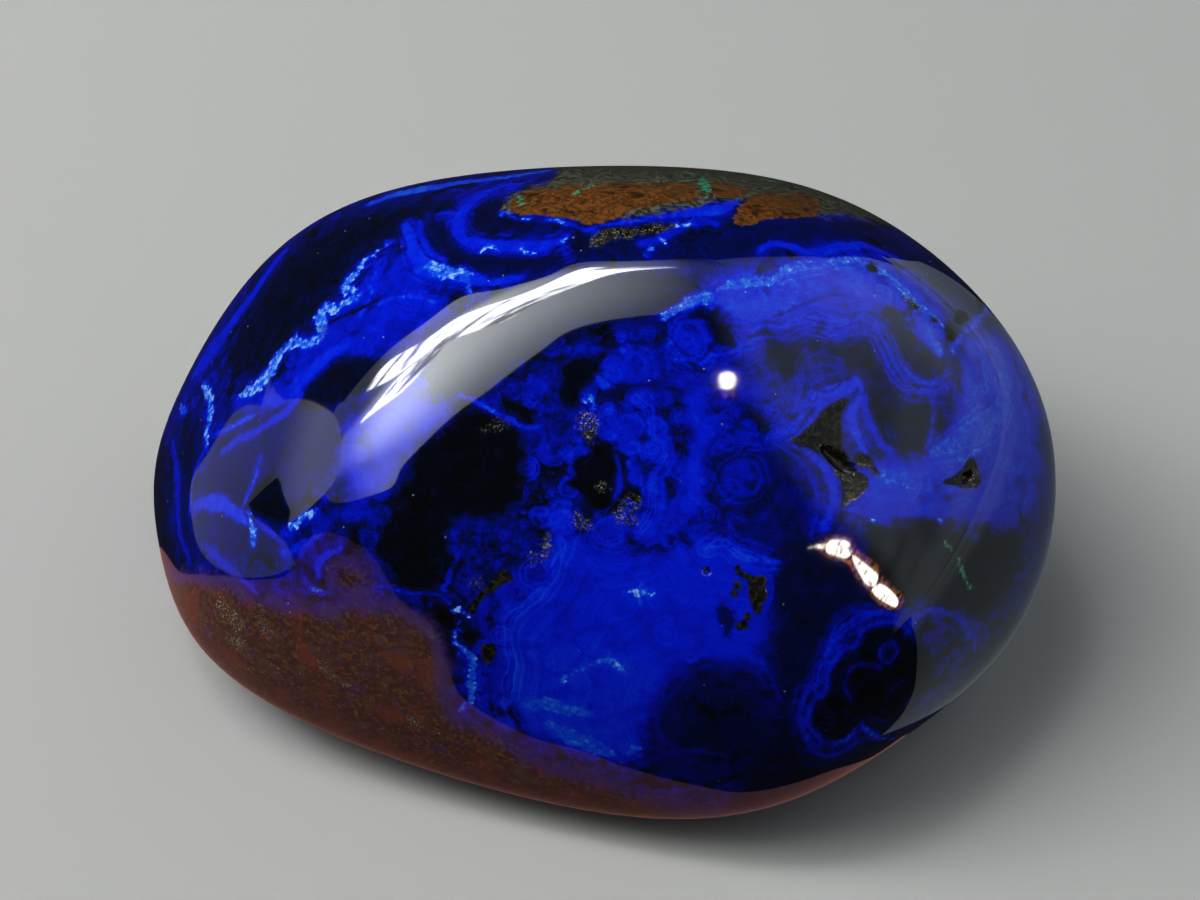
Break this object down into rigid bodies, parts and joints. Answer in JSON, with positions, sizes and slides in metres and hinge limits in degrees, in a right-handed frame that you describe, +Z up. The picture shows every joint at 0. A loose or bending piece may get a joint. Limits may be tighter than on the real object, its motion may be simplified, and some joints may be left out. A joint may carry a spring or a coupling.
{
  "type": "polished azurite palm stone",
  "caption": "Egg-shaped hand-polished stone of banded deep blue azurite in brown matrix, with a domed sloping face, a rounded ridge and small open pits; lies on its underside.",
  "frame": {"origin": "below the middle of the stone, at the bottom centre of its bounding box, in the plane that it rests on", "axes": "+X along the stone's length, +Z up from the resting face; the broad polished face looks up and towards -Y"},
  "size_m": [0.0742, 0.0548, 0.0391],
  "materials": {
    "polished_azurite": "high-gloss polished azurite: ultramarine and near-black blue bands and eyes, brown and olive matrix, specks of malachite green"
  },
  "bodies": {
    "root": {"azurite_stone": "polished_azurite"}
  },
  "joints": []
}
